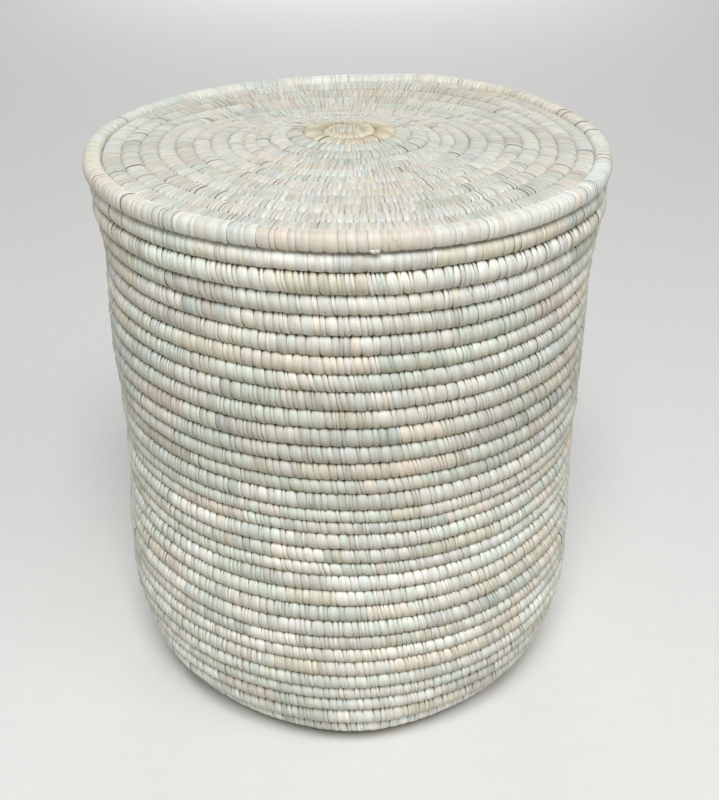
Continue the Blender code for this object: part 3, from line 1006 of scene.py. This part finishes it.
class StripTree(Tree):
    """Wraps strips of leaf round a guide: each is one cell of a grid, bent round the coil."""

    run_seed_step: float = 17.0
    least_snug: float = 0.4
    column_power: float = 0.25
    fold_power: float = 9.0
    top_power: float = 5.0
    foot_power: float = 6.0
    strip_lean: float = 0.45
    run_lean: float = 1.1

    def __init__(self) -> None:
        """Build the tree, with an input for each size of the strips."""
        super().__init__("wrapped strips", {"Count": 10, "Seed": 0, **Strips().inputs}, "Leaf")
        curve = self.sketch.node("GeometryNodeMeshToCurve", {"Mesh": self.inputs["Geometry"]}).outputs[0]
        self._bend(curve, self._spread(curve))

    def _spread(self, curve: Socket) -> Socket:
        """Lay the strips side by side.

        Args:
            curve: the coil's middle line.

        Returns:
            One flat grid for each strip, with its place along the coil, its width and its random numbers.
        """
        sketch, given = self.sketch, self.inputs
        points = sketch.node("GeometryNodePoints", {"Count": given["Count"]}).outputs[0]
        share = sketch.math("POWER", self.random(Draw.WIDTH), WIDTH_POWER)
        raw = sketch.add(given["Narrow"], sketch.times(share, sketch.less(given["Wide"], given["Narrow"])))
        points = self.stored(points, "width", raw)
        summed = sketch.node("GeometryNodeAccumulateField", {"Value": self.named("width")}, data_type="FLOAT",
                             domain="POINT")
        whole = sketch.node("GeometryNodeCurveLength", {"Curve": curve}).outputs[0]
        fit = sketch.math("DIVIDE", whole, Sketch.socket(summed.outputs, "Total"))
        centre = sketch.less(Sketch.socket(summed.outputs, "Leading"), sketch.times(self.named("width"), 0.5))
        points = self.stored(points, "centre", sketch.times(centre, fit))
        points = self.stored(points, "width", sketch.times(self.named("width"), fit))
        count = sketch.math("DIVIDE", self.named("centre"), given["Run Length"])
        leaf = sketch.add(count, sketch.times(given["Seed"], self.run_seed_step))
        cell = sketch.node("ShaderNodeTexVoronoi", {"W": leaf, "Scale": 1.0}, voronoi_dimensions="1D")
        strip = sketch.joined(self.random(Draw.TONE), self.random(Draw.LIGHT), self.random(Draw.ODD))
        habit = sketch.joined(self.random(Draw.LEAN, -1.0, 1.0), self.random(Draw.ROLL, -1.0, 1.0),
                              self.random(Draw.TIP))
        for label, value in (("run", Sketch.socket(cell.outputs, "Color")), ("strip", strip),
                             ("habit", habit)):
            points = self.stored(points, label, value, "FLOAT_VECTOR")
        points = self.stored(points, "snug", self.random(Draw.SNUG, self.least_snug, 1.0))
        sides = sketch.add(given["Outer Sides"], given["Inner Sides"], 1.0)
        grid = sketch.node("GeometryNodeMeshGrid", {"Size X": 2.0, "Size Y": 1.0,
                                                    "Vertices X": given["Columns"], "Vertices Y": sides})
        spot = sketch.node("GeometryNodeInputPosition").outputs[0]
        cells = self.stored(grid.outputs[0], "cell", spot, "FLOAT_VECTOR")
        laid = sketch.node("GeometryNodeInstanceOnPoints", {"Points": points, "Instance": cells}).outputs[0]
        return sketch.node("GeometryNodeRealizeInstances", {"Geometry": laid}).outputs[0]

    def _angle(self, turn: Socket) -> Socket:
        """Find the angle round the coil's section: once round, from its foot and back to it.

        Args:
            turn: the place along the strip, from -0.5 to 0.5.

        Returns:
            The angle, 0 where the coil faces out.
        """
        sketch, given = self.sketch, self.inputs
        sides = sketch.add(given["Outer Sides"], given["Inner Sides"])
        step = sketch.times(sketch.add(turn, 0.5), sides)
        outer = sketch.math("MINIMUM", step, given["Outer Sides"])
        inner = sketch.math("MAXIMUM", sketch.less(step, given["Outer Sides"]), 0.0)
        return sketch.add(-math.pi / 2, *(
            sketch.times(sketch.math("DIVIDE", passed, given[label]), math.pi)
            for passed, label in ((outer, "Outer Sides"), (inner, "Inner Sides"))))

    def _bend(self, curve: Socket, strips: Socket) -> None:
        """Bend the strips round the coil and finish the tree.

        Args:
            curve: the coil's middle line.
            strips: the flat grids.
        """
        sketch, given = self.sketch, self.inputs
        side, turn, _ = sketch.parts(self.named("cell", "FLOAT_VECTOR"))
        strip_habit, roll_pick, tip_pick = sketch.parts(self.named("habit", "FLOAT_VECTOR"))
        run_habit = sketch.parts(self.named("run", "FLOAT_VECTOR"))[2]
        lean_pick = sketch.add(sketch.times(strip_habit, self.strip_lean),
                               sketch.times(sketch.less(run_habit, 0.5), self.run_lean))
        snug, centre, width = self.named("snug"), self.named("centre"), self.named("width")
        angle = self._angle(turn)
        sine, cosine = sketch.math("SINE", angle), sketch.math("COSINE", angle)
        bend = sketch.signed_power(side, self.column_power)
        flat = sketch.less(1.0, sketch.times(bend, bend))
        high = sketch.power(sine, self.top_power)
        deep = sketch.power(sketch.times(sine, -1.0), self.foot_power)
        tied = self.sampled(curve, centre, "tied").outputs[0]
        pinched = sketch.add(sketch.times(high, given["Top Pinch"], tied),
                             sketch.times(deep, given["Bottom Pinch"]))
        pinch = sketch.less(1.0, sketch.times(pinched, snug))
        lean = sketch.add(given["Lean"], sketch.times(lean_pick, given["Lean Spread"]))
        place = sketch.add(centre, sketch.times(bend, width, 0.5, pinch), sketch.times(sine, lean, -1.0))
        outward = self.sampled(curve, place, "outward", "FLOAT_VECTOR")
        onward = self.sampled(curve, place, "onward", "FLOAT_VECTOR")
        half_width = self.sampled(curve, place, "half_width").outputs[0]
        half_depth = self.sampled(curve, place, "half_depth").outputs[0]
        exponent = sketch.math("DIVIDE", 2.0, given["Fullness"])
        out, up = sketch.signed_power(cosine, exponent), sketch.signed_power(sine, exponent)
        edge = sketch.math("ABSOLUTE", bend)
        folded = sketch.times(sketch.math("POWER", edge, self.fold_power), snug)
        lift = sketch.add(sketch.times(flat, given["Crown"]), sketch.times(folded, given["Crease"], -1.0),
                          sketch.times(bend, roll_pick, given["Roll"]),
                          sketch.times(tip_pick, given["Crown"]))
        reach = sketch.times(deep, flat, tip_pick, given["Tip"])
        out_size = sketch.add(sketch.times(out, half_depth), sketch.times(cosine, lift))
        up_size = sketch.add(sketch.times(up, half_width, given["Tuck"]), sketch.times(sine, lift),
                             sketch.times(reach, -1.0))
        spot = sketch.vector("ADD", Sketch.socket(outward.outputs, "Position"),
                             sketch.scaled(outward.outputs[0], out_size))
        spot = sketch.vector("ADD", spot, sketch.scaled(onward.outputs[0], up_size))
        # How deep each point lies in the grooves above and below the row; the leaf's material paints shade
        # there.
        hidden = sketch.math("MAXIMUM", sketch.times(high, high, high, tied), deep)
        leaf = sketch.joined(sketch.times(bend, width, 0.5), sketch.times(angle, half_width), hidden)
        strips = self.stored(strips, "leaf", leaf, "FLOAT_VECTOR")
        # How near the strip's edge each point lies; the leaf's material paints shade in the creases there.
        strips = self.stored(strips, "edge", sketch.times(edge, snug))
        # The section's sine; the leaf's material paints light on the rows' tops and shade on their undersides
        # from it.
        strips = self.stored(strips, "side", sine)
        smooth = sketch.node("GeometryNodeSetShadeSmooth", {"Geometry": self.moved(strips, spot)})
        self.finish(smooth.outputs[0])


class CoreTree(Tree):
    """Fills a coil with its core: a rounded bar along the guide, a little thinner than the strips."""

    def __init__(self) -> None:
        """Build the tree."""
        super().__init__("coil core", {"Share": 0.8, "Sides": 8, "Wobble": 0.001}, "Core")
        sketch, given = self.sketch, self.inputs
        curve = sketch.node("GeometryNodeMeshToCurve", {"Mesh": given["Geometry"]}).outputs[0]
        circle = sketch.node("GeometryNodeCurvePrimitiveCircle",
                             {"Resolution": given["Sides"], "Radius": 1.0}).outputs[0]
        thick = sketch.times(self.named("half_depth"), given["Share"])
        bar = sketch.node("GeometryNodeCurveToMesh", {"Curve": curve, "Profile Curve": circle,
                                                      "Fill Caps": True, "Scale": thick})
        spot = sketch.node("GeometryNodeInputPosition").outputs[0]
        self.finish(self.moved(bar.outputs[0], spot))


@dataclass
class Workshop:
    """Wraps coils: holds the trees and the core's material, and dresses every coil alike."""

    strips: StripTree
    cores: CoreTree
    core: bpy.types.Material
    most_faces: int = 190_000
    core_share: float = 0.92
    core_sides: int = 8
    made: list[bpy.types.Object] = field(default_factory=list)

    def wrap(self, name: str, guide: Guide, style: Strips, leaf: bpy.types.Material, body: str, slot: str,
             seed: int, label: str = "") -> None:
        """Wrap one coil and put it in place of its solid.

        Args:
            name: the solid's name.
            guide: the coil's middle line.
            style: how the strips lie.
            leaf: their material.
            body: the body that they move with.
            slot: the name of their finish's slot, handed on with each piece.
            seed: the number that their chance sizes follow.
            label: what the pieces are called, if not after the solid.
        """
        title = label or name
        whole = max(1, math.ceil(guide.span / style.mean * style.faces / self.most_faces))
        bounds = np.linspace(0, len(guide.place) - 1, whole + 1).round().astype(int)
        for index in range(whole):
            stretch = guide.cut(bounds[index], bounds[index + 1])
            part = f"{title}_strips" if whole == 1 else f"{title}_strips_{index + 1}"
            count = round(stretch.span / style.mean)
            values = {"Count": count, "Seed": seed + index, **style.inputs, "Leaf": leaf}
            self._place(self.strips.run(part, stretch, values), name, body, slot)
        values = {"Share": self.core_share, "Sides": self.core_sides, "Wobble": style.wobble,
                  "Core": self.core}
        self._place(self.cores.run(f"{title}_core", guide, values), name, body, slot)

    def _place(self, piece: bpy.types.Object, node: str, body: str, slot: str) -> None:
        """Let a piece stand for its solid and move with its body.

        Args:
            piece: the piece.
            node: the solid's name.
            body: the body's name.
            slot: not used.
        """
        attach(piece, body)
        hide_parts(node)
        self.made.append(piece)
        LOG.info("%s: %d faces on %s", piece.name, len(piece.data.polygons), body)


@dataclass
class BasketBody:
    """The body: knot, floor, rounded heel and wall, one coil from the middle of the floor to the rim.

    girth says how far the wall is off its round shape at some heights: (height, wider, to the right),
    in millimetres. The shares are heights on the wall, or shares of a turn for head, tail and drift.
    """

    rim_radius: float
    height: float
    flare: float = 7.8 * MM
    swell: float = 4.3 * MM
    heel_reach: float = 59.0 * MM
    heel_rise: float = 110.0 * MM
    heel_bend_power: float = 1.8
    base_coil: float = 17.5 * MM
    waist_coil: float = 14.0 * MM
    rim_coil: float = 17.2 * MM
    knot_length: float = 30.0 * MM
    knot_width: float = 19.0 * MM
    swell_top_share: float = 0.30
    flare_foot_share: float = 0.78
    flare_top_share: float = 0.95
    thin_coil_share: float = 0.32
    thick_coil_share: float = 0.80
    gather: float = 0.85
    head_share: float = 0.3
    tail_share: float = 0.12
    wave: HandWave = HandWave()
    wave_foot_share: float = 0.7
    wave_power: int = 2
    row_drift_shares: tuple[tuple[float, float], ...] = (
        (0.0, 0.0), (1.0, 0.0), (2.0, -0.10), (4.0, -0.22), (5.0, -0.23), (7.0, -0.06), (9.0, -0.09),
        (12.0, -0.24), (13.0, -0.17), (14.0, -0.23), (16.0, -0.01), (17.0, -0.09), (18.0, -0.12),
        (19.0, -0.03), (21.0, -0.13), (23.0, -0.15), (24.0, 0.01), (25.0, 0.18), (27.0, 0.36),
        (28.0, 0.48), (29.0, 0.45), (31.0, 0.0), (60.0, 0.0))
    girth: tuple[tuple[float, float, float], ...] = (
        (0.0, -1.8, 0.0), (30.0, -2.4, 0.0), (70.0, -1.6, 0.0), (110.0, -0.3, 0.0), (150.0, 0.0, 0.0),
        (190.0, -1.8, 0.0), (260.0, -2.3, 0.0), (280.0, -0.8, 0.0), (310.0, -1.2, 0.0), (345.0, 0.3, -1.2),
        (410.0, 0.3, -1.6), (440.0, -1.5, -0.1), (500.0, -1.4, 0.0), (600.0, 0.0, 0.0))
    girth_fade: float = 1.4
    heel_bulge: float = 6.8 * MM
    heel_bulge_height: float = 20.0 * MM
    heel_bulge_reach: float = 50.0 * MM
    heel_bulge_spread: float = math.radians(20.0)
    rim_gap: float = 0.9 * MM
    floor_points: int = 80
    heel_points: int = 120
    wall_points: int = 400
    seed: int = 100
    knot_seed: int = 90

    @property
    def waist_radius(self) -> float:
        """The outer radius where the wall is narrowest."""
        return self.rim_radius - self.flare

    @property
    def belly_radius(self) -> float:
        """The outer radius above the heel."""
        return self.waist_radius + self.swell

    def line(self) -> tuple[Line, list[float]]:
        """Draw the body's line.

        Returns:
            The line from the middle of the floor to the top of the rim, and the lengths at which the
            heel, the wall and the wall's flare begin.
        """
        half = self.base_coil / 2
        reach, rise = self.heel_reach - half, self.heel_rise - half
        floor_end = self.belly_radius - half - reach
        flat = np.linspace(0.0, floor_end, self.floor_points, endpoint=False)
        bend = np.linspace(0.0, math.pi / 2, self.heel_points, endpoint=False)
        share = np.linspace(0.0, 1.0, self.wall_points)
        coil = np.interp(share, (0.0, self.thin_coil_share, self.thick_coil_share),
                         (self.base_coil, self.waist_coil, self.rim_coil))
        flared = (share - self.flare_foot_share) / (self.flare_top_share - self.flare_foot_share)
        swollen = 1.0 - ease(share / self.swell_top_share)
        outside = self.waist_radius + self.swell * swollen + self.flare * np.clip(flared, 0.0, 1.0) ** 2
        power = 2.0 / self.heel_bend_power
        radius = np.concatenate([flat, floor_end + reach * np.sin(bend)**power, outside - coil / 2])
        height = np.concatenate([np.full(len(flat), half), half + rise * (1.0 - np.cos(bend)**power),
                                 self.heel_rise + (self.height - self.heel_rise) * share])
        wall = len(flat) + len(bend)
        line = Line(radius, height, np.concatenate([np.full(wall, self.base_coil), coil]), 1.0)
        flare_foot = wall + round(self.flare_foot_share * (len(share) - 1))
        return line, [float(line.length[index]) for index in (len(flat), wall, flare_foot)]

    def shape(self, radius: np.ndarray, height: np.ndarray, angle: np.ndarray) -> np.ndarray:
        """Bend the body's turns a little, as hand work is: in girth, at the heel and along the rim.

        Args:
            radius: some radii.
            height: their heights.
            angle: their angles.

        Returns:
            The places.
        """
        near = np.clip((height / self.height - self.wave_foot_share) / (1.0 - self.wave_foot_share), 0.0, 1.0)
        stations, wider, aside = np.array(self.girth).T * MM
        away = (angle - 2 * math.pi * FRONT_TURN + math.pi) % (2 * math.pi) - math.pi
        low = ease(1.0 - np.abs(height - self.heel_bulge_height) / self.heel_bulge_reach)
        bulge = self.heel_bulge * np.exp(-(away / self.heel_bulge_spread) ** 2) * low
        wall = np.clip(radius / self.rim_radius * self.girth_fade, 0.0, 1.0)
        moved = (np.interp(height, stations, wider) + bulge) * wall
        place = upright(radius + moved, height + self.wave.at(angle) * near**self.wave_power, angle)
        place[:, 0] += np.interp(height, stations, aside)
        return place

    def build(self, shop: Workshop, leaves: Leaves, style: Strips) -> None:
        """Make the body.

        Args:
            shop: what wraps the coils.
            leaves: the strips' materials.
            style: how the strips lie.
        """
        line, starts = self.line()
        high = float(line.length[-1]) - self.rim_gap
        spiral = Winding(line, low=self.knot_width / 2, high=high, gather=self.gather,
                         phase=(line.turns[-1] - 0.5 - FRONT_TURN) % 1.0, drift=self.row_drift_shares,
                         shape=self.shape)
        last = spiral.last_turn(self.tail_share)
        heel, wall, flare = (line.turn_at(length) for length in starts)
        cuts = [spiral.first_turn(self.head_share), heel, (heel + wall) / 2, wall, flare, last - 1.0, last]
        names = ("base_coil", "heel_coil_lower", "heel_coil_upper", "wall_coil_lower", "wall_coil_upper",
                 "rim_coil")
        for index, name in enumerate(names):
            guide = spiral.guide(cuts[index], cuts[index + 1])
            own, leaf = (style.broad, leaves.rim) if name == "rim_coil" else (style, leaves.body)
            shop.wrap(name, guide, own, leaf, "basket", "leaf_body", self.seed * (index + 1))
        knot = knot_guide(self.knot_length, self.knot_width, self.base_coil, self.base_coil / 2, -1.0)
        shop.wrap("base_start", knot, style.unsewn, leaves.knot, "basket", "leaf_knot", self.knot_seed)


@dataclass
class BasketLid:
    """The lid: knot, coil, thick edge and the turn under it that drops into the mouth.

    The tables are in millimetres: row_widths gives the coil's width at some radii, stretches how much
    farther out the turns reach to the left and right there. The turns lie off centre by centre, less
    and less over the last centre_reach. The hollow behind the crown is a hump turned down, and its
    powers say how it begins and ends. tan_turns is how many turns have the knot's tan leaf.
    """

    radius: float
    edge_height: float
    mouth_radius: float
    locating_bottom: float
    crown: float = 9.81 * MM
    crown_reach: float = 75.8 * MM
    hollow: float = 13.2 * MM
    hollow_foot: float = 70.0 * MM
    hollow_powers: tuple[float, float] = (1.6, 2.0)
    row_widths: tuple[tuple[float, float], ...] = (
        (20.0, 11.12), (50.0, 13.16), (80.0, 14.84), (110.0, 16.01), (200.0, 15.93))
    stretches: tuple[tuple[float, float], ...] = (
        (0.0, 0.0), (8.5, 5.7), (20.0, 0.6), (35.0, 7.5), (60.0, 12.3), (100.0, 4.4), (190.0, 0.0))
    depth_share: float = 0.74
    centre: tuple[float, float] = (0.0, 8.5 * MM)
    centre_reach: float = 74.5 * MM
    phase: float = -0.271
    gather: float = 0.930
    level_turn: float = -0.228
    head_share: float = 0.3
    tail_share: float = 0.12
    tan_turns: float = 2.3
    knot_length: float = 29.0 * MM
    knot_width: float = 17.0 * MM
    knot_depth: float = 11.6 * MM
    edge_coil: float = 15.7 * MM
    edge_rise: float = 14.4 * MM
    edge_shift: float = -1.5 * MM
    edge_fullness: float = 2.6
    locating_coil: float = 12.5 * MM
    tail_length: float = 9.0 * MM
    tail_coil: float = 3.4 * MM
    tail_end: float = math.radians(-83.9)
    tail_rise: float = 2.3 * MM
    tail_blunt: int = 8
    tail_least: float = 0.03
    tail_fold: float = 0.2 * MM
    wave: HandWave = HandWave()
    wave_power: int = 3
    line_points: int = 120
    tail_points: int = 25
    tan_seed: int = 890
    coil_seed: int = 900
    edge_seed: int = 950
    locating_seed: int = 960
    knot_seed: int = 970
    tail_seed: int = 980

    def height_at(self, radius: np.ndarray) -> np.ndarray:
        """Return the height of the middle of the coil at a radius."""
        share = np.clip(radius / self.crown_reach, 0.0, 1.0)
        return self.edge_height + self.crown * (1.0 - share**2) ** 2

    def line(self) -> Line:
        """Draw the lid's line.

        Returns:
            The line from the lid's middle to the edge coil.
        """
        radius = np.linspace(0.0, self.radius - self.edge_coil, self.line_points)
        stations, widths = np.array(self.row_widths).T * MM
        return Line(radius, self.height_at(radius), np.interp(radius, stations, widths), -1.0)

    def shape(self, radius: np.ndarray, height: np.ndarray, angle: np.ndarray) -> np.ndarray:
        """Bend the lid's turns: off centre and oval in the middle, hollow behind it, wavy at the edge.

        Args:
            radius: some radii.
            height: their heights.
            angle: their angles.

        Returns:
            The places.
        """
        inner = self.radius - self.edge_coil
        free = 1.0 - ease((radius - inner + self.centre_reach) / self.centre_reach)
        stations, stretches = np.array(self.stretches).T * MM
        stretch = np.interp(radius, stations, stretches) * np.cos(angle)
        share = np.clip((radius - self.hollow_foot) / (inner - self.hollow_foot), 0.0, 1.0)
        rising, falling = self.hollow_powers
        deepest = rising / (rising + falling)
        most = deepest**rising * (1.0 - deepest) ** falling
        behind = np.clip(np.sin(angle), 0.0, 1.0)
        sunk = self.hollow * share**rising * (1.0 - share) ** falling / most * behind
        shift = np.stack([(self.centre[0] + stretch) * free + self.edge_shift, self.centre[1] * free,
                          self.wave.at(angle) * (radius / self.radius) ** self.wave_power - sunk], axis=1)
        return upright(radius, height, angle) + shift

    def build(self, shop: Workshop, leaves: Leaves, style: Strips) -> None:
        """Make the lid.

        Args:
            shop: what wraps the coils.
            leaves: the strips' materials.
            style: how the strips lie.
        """
        line = self.line()
        spiral = Winding(line, low=self.knot_width / 2, high=float(line.length[-1]), gather=self.gather,
                         level_turn=self.level_turn, phase=self.phase, shape=self.shape)
        first, last = spiral.first_turn(self.head_share), spiral.last_turn(self.tail_share)
        tan_end = first + self.tan_turns
        for start, end, own, leaf, seed, label in (
                (first, tan_end, style.fine, leaves.knot, self.tan_seed, "lid_coil_inner"),
                (tan_end, last, style.flat, leaves.lid, self.coil_seed, "lid_coil")):
            guide = spiral.guide(start, end)
            guide = replace(guide, half_depth=guide.half_depth * self.depth_share)
            shop.wrap("lid_coil", guide, own, leaf, "lid", "leaf_lid", seed, label=label)
        edge = ring(self.radius - self.edge_coil / 2, self.edge_height, self.edge_rise, self.shape)
        edge = replace(edge, half_depth=np.full(len(edge.place), self.edge_coil / 2))
        own = replace(style.broad, fullness=self.edge_fullness)
        shop.wrap("lid_edge_coil", edge, own, leaves.edge, "lid", "leaf_lid", self.edge_seed)
        half = self.locating_coil / 2
        locating = ring(self.mouth_radius - half, self.locating_bottom + half, self.locating_coil, self.shape)
        shop.wrap("lid_locating_coil", locating, replace(style, tip=0.0), leaves.lid, "lid", "leaf_lid",
                  self.locating_seed)
        top = float(self.height_at(np.array(0.0)))
        middle = (self.centre[0] + self.edge_shift, self.centre[1])
        knot = knot_guide(self.knot_length, self.knot_width, self.knot_depth, top, 1.0, middle)
        shop.wrap("lid_start", knot, style.fine.unsewn, leaves.knot, "lid", "leaf_knot", self.knot_seed)
        shop.wrap("lid_edge_coil", self.tail(), replace(style, top_pinch=0.0, tip=0.0), leaves.edge, "lid",
                  "leaf_lid", self.tail_seed, label="lid_tail")

    def tail(self) -> Guide:
        """Lay the end of the edge coil: it thins out under the coil, a little right of the front.

        Returns:
            Its guide.
        """
        share = np.linspace(0.0, 1.0, self.tail_points)
        radius = self.radius - self.tail_coil / 2
        angle = self.tail_end - self.tail_length / radius * (1.0 - share)
        girth = np.sqrt(share) * np.sqrt(np.clip(1.0 - share**self.tail_blunt, self.tail_least, 1.0))
        height = self.edge_height - self.edge_coil / 2 + self.tail_rise
        middle = self.shape(np.full(len(share), radius), np.full(len(share), height), angle)
        half = np.outer(girth * self.tail_coil / 2 + self.tail_fold, [0.0, 0.0, 1.0])
        return level_guide(middle, half, angle)


@dataclass
class Studio:
    """Pale floor, soft light and a camera where the photographer stood.

    Each lamp has a name, its bearing from the front and its rise in degrees, and its power in watts.
    """

    camera_place: tuple[float, float, float] = (0.0, -1.0211, 0.8443)
    camera_tilt: float = 60.34
    lens: float = 53.4
    sensor: float = 36.0
    shift: tuple[float, float] = (0.0128, 0.0)
    floor_size: float = 12.0
    floor_roughness: float = 0.9
    floor_grain: float = 60.0
    floor_dark: tuple[float, float, float, float] = (0.79, 0.79, 0.78, 1.0)
    floor_light: tuple[float, float, float, float] = (0.83, 0.83, 0.82, 1.0)
    lamp_aim: tuple[float, float, float] = (0.0, 0.0, 0.3)
    lamp_distance: float = 4.5
    lamp_size: float = 1.9
    lamps: tuple[tuple[str, float, float, float], ...] = (
        ("front", 0.0, 56.0, 178.0), ("right", 50.0, 46.0, 24.0), ("back", 180.0, 15.0, 36.0))
    sky: float = 0.16

    def build(self) -> None:
        """Set the stage."""
        self._camera()
        self._floor()
        for name, bearing, rise, power in self.lamps:
            around, up = math.radians(bearing) - math.pi / 2, math.radians(rise)
            away = upright(*np.array([[math.cos(up)], [math.sin(up)], [around]]))[0]
            self._lamp(name, tuple(away * self.lamp_distance + self.lamp_aim), power)
        self._sky()
        bpy.context.scene.view_settings.view_transform = "Standard"

    def _camera(self) -> None:
        """Put the camera where the rows and outlines of the photograph place it."""
        data = bpy.data.cameras.new("camera")
        data.lens = self.lens
        data.sensor_width = self.sensor
        data.shift_x, data.shift_y = self.shift
        made = placed("camera", data)
        made.location = self.camera_place
        made.rotation_euler = (math.radians(self.camera_tilt), 0.0, 0.0)
        bpy.context.scene.camera = made

    def _floor(self) -> None:
        """Lay a pale floor."""
        half = self.floor_size / 2
        mesh = bpy.data.meshes.new("floor")
        mesh.from_pydata([(-half, -half, 0.0), (half, -half, 0.0), (half, half, 0.0), (-half, half, 0.0)], [],
                         [(0, 1, 2, 3)])
        material, sketch, shader = blank("pale floor")
        coords = sketch.node("ShaderNodeTexCoord").outputs["Object"]
        grain = sketch.noise(coords, self.floor_grain, 2.0).outputs[0]
        sketch.feed(shader["Base Color"], sketch.blended(grain, self.floor_dark, self.floor_light))
        sketch.feed(shader["Roughness"], self.floor_roughness)
        mesh.materials.append(material)
        made = placed("floor", mesh)

    def _lamp(self, name: str, place: tuple[float, float, float], power: float) -> None:
        """Hang a soft square lamp that points at the basket.

        Args:
            name: its name.
            place: where it hangs.
            power: its strength in watts.
        """
        data = bpy.data.lights.new(name, "AREA")
        data.size = self.lamp_size
        data.energy = power
        made = placed(name, data)
        made.location = place
        aim = np.array(self.lamp_aim) - np.array(place)
        flat = math.hypot(aim[0], aim[1])
        made.rotation_euler = (math.atan2(flat, -aim[2]), 0.0, math.atan2(aim[1], aim[0]) - math.pi / 2)

    def _sky(self) -> None:
        """Fill the room with even light, and show it white behind the floor."""
        world = bpy.data.worlds.new("room")
        world.use_nodes = True
        sketch = Sketch(world.node_tree)
        rays = sketch.node("ShaderNodeLightPath").outputs
        seen = sketch.math("MAXIMUM", rays["Is Camera Ray"],
                           sketch.math("MAXIMUM", rays["Is Glossy Ray"], rays["Is Transmission Ray"]))
        strength = sketch.add(self.sky, sketch.times(seen, 1.0 - self.sky))
        back = world.node_tree.nodes["Background"].inputs
        sketch.feed(back["Color"], (1.0, 1.0, 1.0, 1.0))
        sketch.feed(back["Strength"], strength)
        bpy.context.scene.world = world


def main() -> None:
    """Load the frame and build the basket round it."""
    logging.basicConfig(level=logging.INFO, format="%(name)s: %(message)s")
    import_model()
    shop = Workshop(StripTree(), CoreTree(), CoreFinish("fibre core").material())
    leaves, style = Leaves.picked(), Strips()
    rim_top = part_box("rim_coil")[1]
    BasketBody(rim_radius=rim_top.x, height=rim_top.z).build(shop, leaves, style)
    edge_low, edge_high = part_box("lid_edge_coil")
    locating_low, locating_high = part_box("lid_locating_coil")
    BasketLid(radius=edge_high.x, edge_height=(edge_low.z + edge_high.z) / 2, mouth_radius=locating_high.x,
              locating_bottom=locating_low.z).build(shop, leaves, style)
    Studio().build()
    quads = sum(len(piece.data.polygons) for piece in shop.made)
    LOG.info("%d pieces, about %d triangles", len(shop.made), 2 * quads)


if __name__ == "__main__":
    main()
